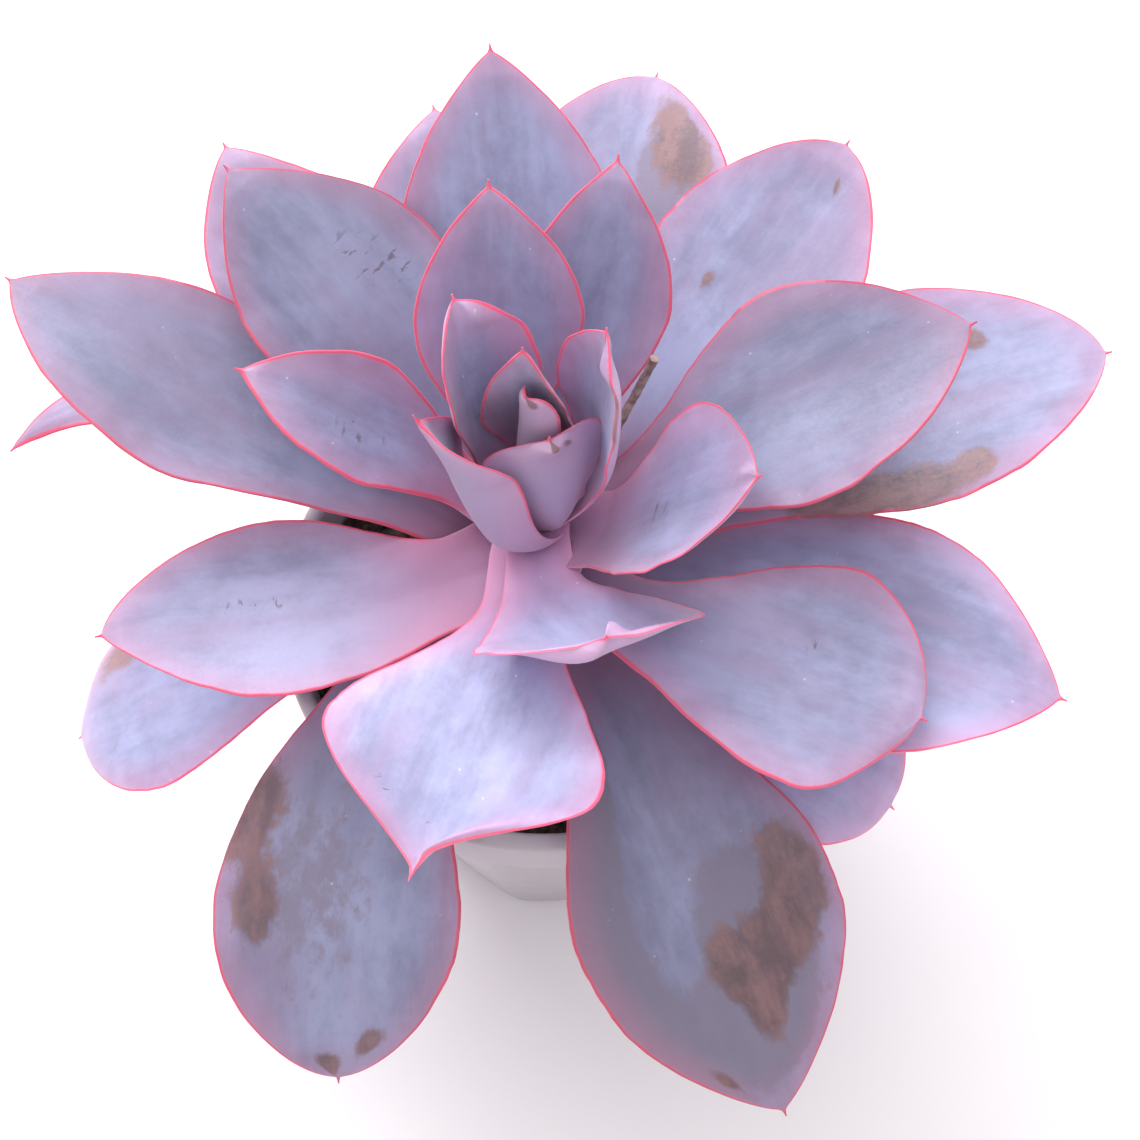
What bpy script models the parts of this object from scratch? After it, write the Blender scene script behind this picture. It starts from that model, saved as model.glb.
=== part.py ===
"""Potted succulent: a rosette of fleshy leaves on a short stem, rooted in a plastic pot.

Lengths are in metres, except in the leaf table, which is in millimetres and degrees.
The pot's underside lies on z = 0 and the stem runs up the Z axis.
"""
import math
from dataclasses import dataclass

import bmesh
import bpy
from mathutils import Matrix, Vector
from mathutils.geometry import interpolate_bezier

MM = 0.001
GAP = 0.35 * MM              # between touching pieces

# Pot: a round rim and collar on an eight-sided, tapered body
POT_HEIGHT = 70 * MM
RIM_RADIUS = 44.5 * MM
RIM_WIDTH = 3 * MM
RIM_EDGE = 0.8 * MM          # softening of the rim's edges
COLLAR_HEIGHT = 11 * MM
COLLAR_DRAFT = 0.6 * MM      # the collar narrows by this much towards its lower edge
COLLAR_STEP = 2 * MM         # the body's corners lie this far inside the collar
BASE_APOTHEM = 31 * MM       # from the axis to the middle of a side, at the underside
BASE_EDGE = 1.2 * MM
WALL = 1.6 * MM
FLOOR = 2.2 * MM
DRAIN_HOLES = 4
DRAIN_RADIUS = 3.5 * MM
DRAIN_CIRCLE = 17 * MM       # the holes' centres lie on this radius
POT_SIDES = 8
CORNER_SHARE = 1.05          # a soft corner's radius as a share of the apothem
POT_SEGMENTS = 48
DRAIN_SEGMENTS = 20

# Soil
SOIL_BELOW_RIM = 8 * MM
SOIL_GAP = 0.7 * MM          # between the soil and the pot's inside
SOIL_MOUND = 1.5 * MM        # rise of the soil around the stem
MOUND_SHARE = 0.45           # the mound's radius as a share of the soil's

# Stem
STEM_RADIUS = 5.4 * MM
STEM_SEAT = 1.1 * MM         # the leaves' ends stand this far off the stem's side
STEM_ROOT = 12 * MM          # depth of the stem in the soil
STEM_SEGMENTS = 24
CROWN_ABOVE_RIM = 29 * MM    # where the spiral of leaves starts
CROWN_RANKS = 11             # leaves down to the stem's full radius
CROWN_TIP_RANK = 2.3         # the stem ends at the height of this rank
CROWN_CORE = 0.02            # radius of the spiral's start, as a share

# Spiral of leaves
FIRST_AZIMUTH = 30.0
GOLDEN_ANGLE = 137.5
RANK_STEP = 0.92 * MM
TIP_RADIUS = 0.4 * MM
TIP_CROWDING = 1.35          # how much closer the rows of a blade lie near its tip
MARGIN_THINNING = 0.72
DRAPE_RADIUS = 44.5 * MM     # rim that the hanging leaves' reach is given for
SEAT_RADIUS = 5.4 * MM       # stem that every leaf's reach is given for
MARGIN_SHARPNESS = 2.4
MIDRIB_POINTS = 120
LEAF_ROWS = 10
LEAF_COLUMNS = 4

# Dried flower stalk
STALK_RADIUS = 0.8 * MM
STALK_ROUTE = [              # (x, y, height above the rim), in millimetres
    (5.0, 3.9, 20),
    (14.9, 13.4, 30),
    (19.4, 14.5, 42),
]


@dataclass(frozen=True)
class Leaf:
    """One leaf of the spiral, in millimetres and degrees."""

    rank: int                # place in the spiral, counted down from the crown
    reach: float             # tip's distance from the stem's axis
    above_rim: float         # tip's height over the pot's rim
    aside: float             # turn of the tip about the stem, from the base
    width: float
    rise: float              # slope of the midrib at the stem
    fall: float              # slope of the midrib at the tip
    cup: float               # half the angle of the arc across the blade
    roll: float = 0.0        # turn of the blade about its midrib
    thick: float = 3.4
    blunt: float = 0.8       # lower is rounder at the tip
    widest: float = 0.62     # share of the length at which the blade is widest
    neck: float = 0.32       # share of the width at the base
    slim: float = 1.35       # higher widens later
    sway: float = 0.0        # turn of the tip's heading
    base_turn: float = 0.0   # the base's departure from the spiral
    base_drop: float = 0.0
    base_out: float = 0.0
    pull: float = 0.36       # length of the midrib's handles, as a share of its chord


LEAVES = [
    Leaf(0, 4.5, 48, 71, 5, 85, 60, 60, roll=-1, thick=1, neck=0.31, base_turn=-60,
         base_out=1.2, pull=0.29),
    Leaf(1, 0.5, 57, -149, 9, 84, 99, 85, roll=4, thick=1, blunt=0.32, widest=0.7, neck=0.48,
         base_turn=51, base_drop=-0.5, base_out=2, pull=0.42),
    Leaf(2, 4, 51, 21, 20, 36, 88, 60, roll=-7, thick=1.1, blunt=0.42, widest=0.72, neck=0.39,
         base_turn=-10, base_drop=0.5, base_out=2.2, pull=0.32),
    Leaf(3, 4, 63, 4, 16, 58, 93, 48, roll=-3, thick=1.6, blunt=0.7, widest=0.5, base_turn=-5,
         base_out=1.8),
    Leaf(4, 15.5, 52, -63, 21, 42, 58, 60, roll=30, thick=1.8, neck=0.58, base_turn=18,
         base_out=3.2),
    Leaf(5, 13, 63, 25, 20, 44, 86, 45, thick=1.9, blunt=0.55),
    Leaf(6, 14.5, 64, -11, 18, 60, 75, 50, thick=2.1, blunt=0.42, base_out=0.4),
    Leaf(7, 31, 43, 22, 34, 17, 84, 16, roll=-9, thick=1.7, blunt=0.4, widest=0.72, neck=0.28,
         base_turn=-10, base_drop=-1, base_out=1.2, pull=0.37),
    Leaf(10, 33.5, 50, 8, 31, 44, 40, 33, thick=2.4, blunt=0.58, widest=0.66, neck=0.39,
         base_turn=5),
    Leaf(11, 29, 68, -17, 26, 58, 66, 35, base_turn=8),
    Leaf(12, 60, 26, -8, 42, 28, -5, 12, roll=2, thick=3.1, blunt=1.35, widest=0.66, neck=0.25,
         slim=1.6, sway=-4, base_turn=16, pull=0.37),
    Leaf(13, 67, 46, -3, 37, 33, 20, 30, blunt=0.75, widest=0.6, neck=0.28, sway=3,
         base_turn=-4),
    Leaf(14, 43.5, 50, 16, 20, 45, 28, 45, roll=-10, thick=3.6, base_turn=-11, base_drop=0.5,
         base_out=0.4, pull=0.34),
    Leaf(15, 65, 22, 25, 36, 28, 5, 25, blunt=0.62, widest=0.74, neck=0.28, base_turn=6),
    Leaf(16, 40, 62, -9, 25, 51, 62, 40, roll=21, neck=0.31, base_turn=4, base_out=0.2,
         pull=0.31),
    Leaf(17, 69.5, 20, -17, 31, 8, 12, 25, blunt=0.7, widest=0.56, neck=0.41, slim=1, sway=6,
         base_turn=-2, base_drop=-1.5),
    Leaf(19, 66, 52, 11, 34, 44, 30, 25, thick=3.1, neck=0.3, base_turn=-4),
    Leaf(21, 75, 42, 6, 36, 38, 30, 25, blunt=0.58, widest=0.64),
    Leaf(22, 88, 43, -5, 31, 37, 12, 30, roll=-2, thick=2.9, neck=0.31, sway=-12, base_turn=-18,
         base_drop=0.5, base_out=1, pull=0.34),
    Leaf(24, 65, 57, 0, 36, 30, 45, 20, thick=3.3, widest=0.58),
    Leaf(25, 82.5, -15, 36, 39, 12, -35, 15, blunt=0.6, widest=0.7, sway=22, base_turn=-22),
    Leaf(26, 93, 26, -8, 40, 25, 15, 20, blunt=0.6, widest=0.64, sway=-10, base_turn=14),
    Leaf(27, 82, 38, -2, 33, 33, 17, 20, roll=-1, thick=3.1, neck=0.34, sway=-10, base_turn=-17,
         base_out=0.2, pull=0.3),
    Leaf(28, 88.5, -15, 0, 41, 18, -32, 15, neck=0.27, base_turn=8),
    Leaf(29, 81, 35, 7, 38, 30, 11, 20, thick=3.3, blunt=0.6, widest=0.68, neck=0.26, sway=-8,
         base_turn=6, base_out=0.8, pull=0.35),
    Leaf(30, 83.5, -20, -4, 33, 15, -47, -10, thick=3.1, blunt=0.55, widest=0.75, neck=0.28,
         slim=1.8, base_turn=-5, base_drop=-1, pull=0.33),
    Leaf(31, 82.5, 13, -7, 39, 21, -8, 15, roll=3, thick=3.6, neck=0.47, slim=1, base_turn=10,
         pull=0.37),
    Leaf(32, 80, 30, -12, 36, 25, 15, 20),
    Leaf(35, 90.5, 14, 15, 13, 26, -10, 30, sway=55, base_turn=-16),
    Leaf(36, 65, -8, 11, 32, 31, -41, 12, roll=2, thick=3.1, blunt=0.5, widest=0.7,
         base_turn=10, base_drop=-1, base_out=0.4, pull=0.33),
]


def material(name, colour, roughness, metallic=0.0):
    """Principled material with the given look."""
    made = bpy.data.materials.new(name)
    made.use_nodes = True
    shader = made.node_tree.nodes["Principled BSDF"]
    shader.inputs["Base Color"].default_value = (*colour, 1.0)
    shader.inputs["Roughness"].default_value = roughness
    shader.inputs["Metallic"].default_value = metallic
    return made


def add_object(name, bm, look, sharp_angle=40.0):
    """Link the mesh as a named object, shaded smooth up to the sharp angle."""
    mesh = bpy.data.meshes.new(name)
    bm.to_mesh(mesh)
    bm.free()
    mesh.shade_smooth()
    mesh.set_sharp_from_angle(angle=math.radians(sharp_angle))
    mesh.materials.append(look)
    made = bpy.data.objects.new(name, mesh)
    bpy.context.scene.collection.objects.link(made)
    return made


def heading(degrees):
    """Level unit vector at an azimuth."""
    return Vector((math.cos(math.radians(degrees)), math.sin(math.radians(degrees)), 0.0))


def slope(level, degrees):
    """Unit vector along a level heading, tilted up by an angle."""
    tilt = math.radians(degrees)
    return level * math.cos(tilt) + Vector((0.0, 0.0, math.sin(tilt)))


def crown_radius(rank):
    """Distance from the axis to the inner ends of the leaves of one rank."""
    share = CROWN_CORE + (1.0 - CROWN_CORE) * rank / CROWN_RANKS
    return (STEM_RADIUS + STEM_SEAT) * min(1.0, share)


def rank_height(rank):
    """Height at which a leaf of one rank leaves the stem."""
    return POT_HEIGHT + CROWN_ABOVE_RIM - RANK_STEP * rank


def interpolate(stops, at):
    """Value at a place along a list of (place, value) stops."""
    for (start, low), (end, high) in zip(stops, stops[1:]):
        if at <= end:
            return low + (high - low) * (at - start) / (end - start)
    return stops[-1][1]


class Blade:
    """Surface of one leaf: a midrib curve with an arc across it."""

    THICKNESS = [(0.0, 0.74), (0.22, 1.0), (0.5, 0.95), (1.0, 0.6)]
    TIP_FADE = 0.06
    ROLL_END = 0.6

    def __init__(self, leaf):
        self.leaf = leaf
        self.base_azimuth = FIRST_AZIMUTH + GOLDEN_ANGLE * leaf.rank + leaf.base_turn
        outward = heading(self.base_azimuth)
        start = outward * (crown_radius(leaf.rank) + leaf.base_out * MM)
        start.z = rank_height(leaf.rank) - leaf.base_drop * MM
        reach = leaf.reach * MM
        if leaf.above_rim < 0:      # it hangs outside the pot, so it clears a wider rim
            reach *= RIM_RADIUS / DRAPE_RADIUS
        reach += STEM_RADIUS - SEAT_RADIUS
        tip = heading(self.base_azimuth + leaf.aside) * reach
        tip.z = POT_HEIGHT + leaf.above_rim * MM
        chord = tip - start
        chord_azimuth = math.degrees(math.atan2(chord.y, chord.x))
        self.tip_azimuth = chord_azimuth + leaf.sway
        if math.hypot(chord.x, chord.y) < STEM_RADIUS + GAP:
            self.tip_azimuth = self.base_azimuth
        handle = chord.length * leaf.pull
        leaving = start + slope(outward, leaf.rise) * handle
        arriving = tip - slope(heading(chord_azimuth + leaf.sway), leaf.fall) * handle
        self.points = interpolate_bezier(start, leaving, arriving, tip, MIDRIB_POINTS)
        self.lengths = [0.0]
        for here, there in zip(self.points, self.points[1:]):
            self.lengths.append(self.lengths[-1] + (there - here).length)

    def midrib(self, along):
        """Point and direction of the midrib at a share of its length."""
        wanted = along * self.lengths[-1]
        index = 1
        while index < len(self.lengths) - 1 and self.lengths[index] < wanted:
            index += 1
        here, there = self.points[index - 1], self.points[index]
        span = self.lengths[index] - self.lengths[index - 1]
        point = here.lerp(there, (wanted - self.lengths[index - 1]) / span)
        return point, (there - here).normalized()

    def frame(self, along):
        """Point, sideways axis and upper-face axis at a share of the length."""
        point, direction = self.midrib(along)
        turn = (self.tip_azimuth - self.base_azimuth + 180.0) % 360.0 - 180.0
        side = heading(self.base_azimuth + turn * along + 90.0)
        side = (side - direction * side.dot(direction)).normalized()
        upper = direction.cross(side)
        roll = math.radians(self.leaf.roll) * min(1.0, along / self.ROLL_END)
        rolled = side * math.cos(roll) + upper * math.sin(roll)
        return point, rolled, upper * math.cos(roll) - side * math.sin(roll)

    def half_width(self, along):
        """Half the blade's width at a share of its length."""
        leaf = self.leaf
        if along < leaf.widest:
            swell = 0.5 - 0.5 * math.cos(math.pi * (along / leaf.widest) ** leaf.slim)
            share = leaf.neck + (1.0 - leaf.neck) * swell
        else:
            beyond = (along - leaf.widest) / (1.0 - leaf.widest)
            share = max(0.0, math.cos(math.pi * beyond / 2.0)) ** leaf.blunt
        return max(TIP_RADIUS, leaf.width * MM / 2.0 * share)

    def point(self, across, along, face):
        """Point of the surface; across runs -1 to 1, and face is 1 above and -1 below."""
        centre, side, upper = self.frame(along)
        bend = math.radians(self.leaf.cup)
        radius = self.half_width(along) / bend
        angle = bend * across
        middle = centre + side * radius * math.sin(angle) + upper * radius * (1.0 - math.cos(angle))
        normal = upper * math.cos(angle) - side * math.sin(angle)
        thickness = self.leaf.thick * MM * interpolate(self.THICKNESS, along)
        thickness *= min(1.0, max(0.25, (1.0 - along) / self.TIP_FADE))
        thickness *= 1.0 - MARGIN_THINNING * abs(across) ** MARGIN_SHARPNESS
        return middle + normal * face * thickness / 2.0


def build_leaf(number, leaf, look):
    """A grid thickened into a slab, with its corners moved onto the blade."""
    bm = bmesh.new()
    bmesh.ops.create_grid(bm, x_segments=LEAF_COLUMNS, y_segments=LEAF_ROWS, size=1.0)
    bmesh.ops.translate(bm, vec=(0.0, 0.0, -1.0), verts=bm.verts)
    slab = bmesh.ops.extrude_face_region(bm, geom=list(bm.faces), use_keep_orig=True)
    raised = [item for item in slab["geom"] if isinstance(item, bmesh.types.BMVert)]
    bmesh.ops.translate(bm, vec=(0.0, 0.0, 2.0), verts=raised)
    bmesh.ops.recalc_face_normals(bm, faces=bm.faces)
    bmesh.ops.reverse_faces(bm, faces=bm.faces)      # the blade's axes are left-handed
    blade = Blade(leaf)
    for vert in bm.verts:
        along = 1.0 - (0.5 - vert.co.y / 2.0) ** TIP_CROWDING
        vert.co = blade.point(vert.co.x, along, vert.co.z)
    return add_object(f"leaf_{number:02d}", bm, look)


def facet_radius(angle, apothem):
    """Radius of the soft-cornered, eight-sided outline at an angle."""
    side = 2.0 * math.pi / POT_SIDES
    from_middle = (angle + math.pi / 2.0 + side / 2.0) % side - side / 2.0
    return apothem * min(1.0 / math.cos(from_middle), CORNER_SHARE)


def place_ring(verts, size, height, faceted):
    """Move a ring of corners to a circle, or to the body's outline if faceted."""
    for vert in verts:
        angle = math.atan2(vert.co.y, vert.co.x)
        radius = facet_radius(angle, size) if faceted else size
        vert.co = Vector((radius * math.cos(angle), radius * math.sin(angle), height))


def loft(profile):
    """Skin a list of (size, height, faceted) rings and fill the first and the last."""
    bm = bmesh.new()
    ring = bmesh.ops.create_circle(bm, segments=POT_SEGMENTS, radius=RIM_RADIUS)["verts"]
    edges = list(bm.edges)
    place_ring(ring, *profile[0])
    bmesh.ops.edgeloop_fill(bm, edges=edges)
    for row in profile[1:]:
        grown = bmesh.ops.extrude_edge_only(bm, edges=edges)["geom"]
        edges = [item for item in grown if isinstance(item, bmesh.types.BMEdge)
                 and len(item.link_faces) == 1]
        place_ring([item for item in grown if isinstance(item, bmesh.types.BMVert)], *row)
    bmesh.ops.edgeloop_fill(bm, edges=edges)
    bmesh.ops.recalc_face_normals(bm, faces=bm.faces)
    return bm


COLLAR_BOTTOM = POT_HEIGHT - COLLAR_HEIGHT
BODY_TOP = COLLAR_BOTTOM - COLLAR_STEP
BODY_TOP_APOTHEM = (RIM_RADIUS - COLLAR_DRAFT - COLLAR_STEP) / CORNER_SHARE
MOUTH_RADIUS = RIM_RADIUS - RIM_WIDTH
SOIL_TOP = POT_HEIGHT - SOIL_BELOW_RIM


def cavity(inset):
    """Rings of the pot's inside below the mouth, bottom up, drawn in by an inset."""
    return [
        (BASE_APOTHEM - WALL - inset, FLOOR + inset, True),
        (BODY_TOP_APOTHEM - WALL - inset, BODY_TOP, True),
        (MOUTH_RADIUS - COLLAR_DRAFT - inset, COLLAR_BOTTOM, False),
    ]


def build_drain_cutter(look):
    """Rods that cut the drain holes through the floor."""
    bm = bmesh.new()
    for index in range(DRAIN_HOLES):
        place = heading(360.0 * (index + 0.5) / DRAIN_HOLES) * DRAIN_CIRCLE
        bmesh.ops.create_cone(bm, cap_ends=True, segments=DRAIN_SEGMENTS, radius1=DRAIN_RADIUS,
                              radius2=DRAIN_RADIUS, depth=4.0 * FLOOR,
                              matrix=Matrix.Translation(place))
    cutter = add_object("drain_cutter", bm, look)
    cutter.hide_render = True
    return cutter


def build_pot(look):
    """One thin-walled shell with a rim, a collar, a faceted body and drain holes."""
    outside = [
        (BASE_APOTHEM - BASE_EDGE, 0.0, True),
        (BASE_APOTHEM, BASE_EDGE, True),
        (BODY_TOP_APOTHEM, BODY_TOP, True),
        (RIM_RADIUS - COLLAR_DRAFT, COLLAR_BOTTOM, False),
        (RIM_RADIUS, POT_HEIGHT - RIM_EDGE, False),
        (RIM_RADIUS - RIM_EDGE, POT_HEIGHT, False),
        (MOUTH_RADIUS + RIM_EDGE, POT_HEIGHT, False),
        (MOUTH_RADIUS, POT_HEIGHT - RIM_EDGE, False),
    ]
    pot = add_object("pot", loft(outside + list(reversed(cavity(0.0)))), look, 25.0)
    cut = pot.modifiers.new("drain_holes", "BOOLEAN")
    cut.solver = "EXACT"
    cut.object = build_drain_cutter(look)


def build_soil(look):
    """The potting mix, shaped by the pot's inside, with a socket for the stem."""
    draft = COLLAR_DRAFT * (POT_HEIGHT - SOIL_TOP) / COLLAR_HEIGHT
    edge_radius = MOUTH_RADIUS - draft - SOIL_GAP
    socket = STEM_RADIUS + GAP
    profile = cavity(SOIL_GAP)
    profile.append((edge_radius, SOIL_TOP, False))
    profile.append((edge_radius * MOUND_SHARE, SOIL_TOP + SOIL_MOUND, False))
    profile.append((socket, SOIL_TOP + SOIL_MOUND, False))
    profile.append((socket, SOIL_TOP - STEM_ROOT - GAP, False))
    return add_object("soil", loft(profile), look)


def build_stem(look):
    """The stem, turned from its profile and narrowing up through the crown."""
    tip_radius = crown_radius(CROWN_TIP_RANK) - STEM_SEAT
    profile = [
        Vector((0.0, 0.0, SOIL_TOP - STEM_ROOT)),
        Vector((STEM_RADIUS, 0.0, SOIL_TOP - STEM_ROOT)),
        Vector((STEM_RADIUS, 0.0, rank_height(CROWN_RANKS))),
        Vector((tip_radius, 0.0, rank_height(CROWN_TIP_RANK))),
        Vector((0.0, 0.0, rank_height(CROWN_TIP_RANK))),
    ]
    bm = bmesh.new()
    verts = [bm.verts.new(point) for point in profile]
    edges = [bm.edges.new(pair) for pair in zip(verts, verts[1:])]
    bmesh.ops.spin(bm, geom=verts + edges, cent=(0.0, 0.0, 0.0), axis=(0.0, 0.0, 1.0),
                   angle=2.0 * math.pi, steps=STEM_SEGMENTS, use_merge=True)
    bmesh.ops.remove_doubles(bm, verts=bm.verts, dist=0.01 * MM)
    bmesh.ops.recalc_face_normals(bm, faces=bm.faces)
    return add_object("stem", bm, look)


def build_stalk(look):
    """The dried stub of an old flower stalk, leaning out between the leaves."""
    curve = bpy.data.curves.new("flower_stalk", "CURVE")
    curve.dimensions = "3D"
    curve.bevel_depth = STALK_RADIUS
    curve.bevel_resolution = 2
    curve.use_fill_caps = True
    line = curve.splines.new("POLY")
    line.points.add(len(STALK_ROUTE) - 1)
    for point, (x, y, above_rim) in zip(line.points, STALK_ROUTE):
        point.co = (x * MM, y * MM, POT_HEIGHT + above_rim * MM, 1.0)
    made = bpy.data.objects.new("flower_stalk", curve)
    curve.materials.append(look)
    bpy.context.scene.collection.objects.link(made)
    return made


def main():
    """Build every piece of the plant and its pot."""
    for old in list(bpy.data.objects):
        bpy.data.objects.remove(old, do_unlink=True)
    plastic = material("pot_plastic", (0.80, 0.78, 0.77), 0.45)
    mix = material("potting_mix", (0.05, 0.035, 0.025), 0.95)
    bark = material("stem_bark", (0.35, 0.25, 0.20), 0.8)
    straw = material("dry_stalk", (0.30, 0.20, 0.16), 0.85)
    flesh = material("leaf_flesh", (0.42, 0.42, 0.56), 0.55)
    build_pot(plastic)
    build_soil(mix)
    build_stem(bark)
    build_stalk(straw)
    for number, leaf in enumerate(LEAVES, start=1):
        build_leaf(number, leaf, flesh)


main()
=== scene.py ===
"""Looks of a potted succulent: fine leaves, a moulded pot, potting mix, stem and dry stalk.

Positions and sizes are in metres, apart from the leaf table, which is in millimetres and degrees.
"""

import logging
import math
import random
from dataclasses import dataclass, field
from enum import Enum
from typing import ClassVar

import bmesh
import bpy
from mathutils import Matrix, Vector, noise
from mathutils.geometry import interpolate_bezier


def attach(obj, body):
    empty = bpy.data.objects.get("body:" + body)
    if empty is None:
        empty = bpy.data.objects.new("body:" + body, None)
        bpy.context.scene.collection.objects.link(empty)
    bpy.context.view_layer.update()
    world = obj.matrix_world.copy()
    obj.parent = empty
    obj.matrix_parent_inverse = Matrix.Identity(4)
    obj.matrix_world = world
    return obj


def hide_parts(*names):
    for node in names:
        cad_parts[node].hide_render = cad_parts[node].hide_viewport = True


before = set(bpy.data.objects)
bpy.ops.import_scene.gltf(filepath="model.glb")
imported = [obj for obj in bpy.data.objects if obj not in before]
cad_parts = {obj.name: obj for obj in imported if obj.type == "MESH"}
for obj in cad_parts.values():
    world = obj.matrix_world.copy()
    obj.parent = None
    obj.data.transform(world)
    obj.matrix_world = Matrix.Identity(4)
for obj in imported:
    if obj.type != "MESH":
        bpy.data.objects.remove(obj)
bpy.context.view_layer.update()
LOG = logging.getLogger("succulent")
MM = 0.001
ROOT = "root"
RIM_HEIGHT = 70 * MM
UP = Vector((0.0, 0.0, 1.0))

Colour = tuple[float, float, float]
Socket = bpy.types.NodeSocket


class Mark(Enum):
    """Names of the values that a leaf's corners carry for its material."""

    FOOT = "foot_mm"         # distance from the base
    EDGE = "edge_mm"         # distance from the margin
    BARE = "bare"            # where the pale wax is thin
    SCUFF = "scuff"          # where the skin is rubbed brown
    SCRATCH = "scratch"      # where thin dark scratches lie
    BLUSH = "blush"          # pinkness of the whole leaf
    TONE = "tone"            # lightness of the whole leaf: painted light and shade, besides the wax's own variation
    UNDER = "under"          # 1 on the lower face


class Tone(Enum):
    """Lightness scaled over a whole leaf: partly the wax's own variation, partly painted light and
    shade for how light falls on the leaf.
    """

    DARKENED = 0.75
    EVEN = 1.0
    LIGHTENED = 1.3


@dataclass(frozen=True)
class Patch:
    """A soft-edged area of a leaf, in shares of its length and half width."""

    along: float
    across: float
    long: float
    wide: float
    amount: float = 1.0

    def at(self, along: float, across: float) -> float:
        """Strength of the patch at a place on the leaf."""
        reach = ((along - self.along) / self.long) ** 2 + ((across - self.across) / self.wide) ** 2
        return self.amount * math.exp(-reach)


@dataclass(frozen=True)
class Leaf:
    """One leaf of the spiral, in millimetres and degrees."""

    rank: int
    reach: float
    above_rim: float
    aside: float
    width: float
    rise: float
    fall: float
    cup: float
    roll: float = 0.0
    thick: float = 3.4
    blunt: float = 0.8
    widest: float = 0.62
    neck: float = 0.32
    slim: float = 1.35
    sway: float = 0.0
    base_turn: float = 0.0
    base_drop: float = 0.0
    base_out: float = 0.0
    pull: float = 0.36
    lip: float = 0.0                       # rise of the margins over the last of the width
    wave: float = 0.6                      # height of the margins' waves
    spine: float = 1.3                     # length of the pointed tip
    clasp: float = 1.6                     # widening of the seat on the stem
    sink: float = 4.0                      # depth of the seat inside the stem
    lean: float = 0.0                      # moves the width towards the positive side
    curl: float = 0.0                      # lift of the tip
    blush: float = 0.0                     # extra pinkness
    # painted light and shade over the whole leaf, besides real variation of its wax
    tone: Tone = Tone.EVEN
    dents: tuple[Patch, ...] = ()          # relief, in millimetres along the upper normal
    bares: tuple[Patch, ...] = ()
    scuffs: tuple[Patch, ...] = ()
    scratches: tuple[Patch, ...] = ()


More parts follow.
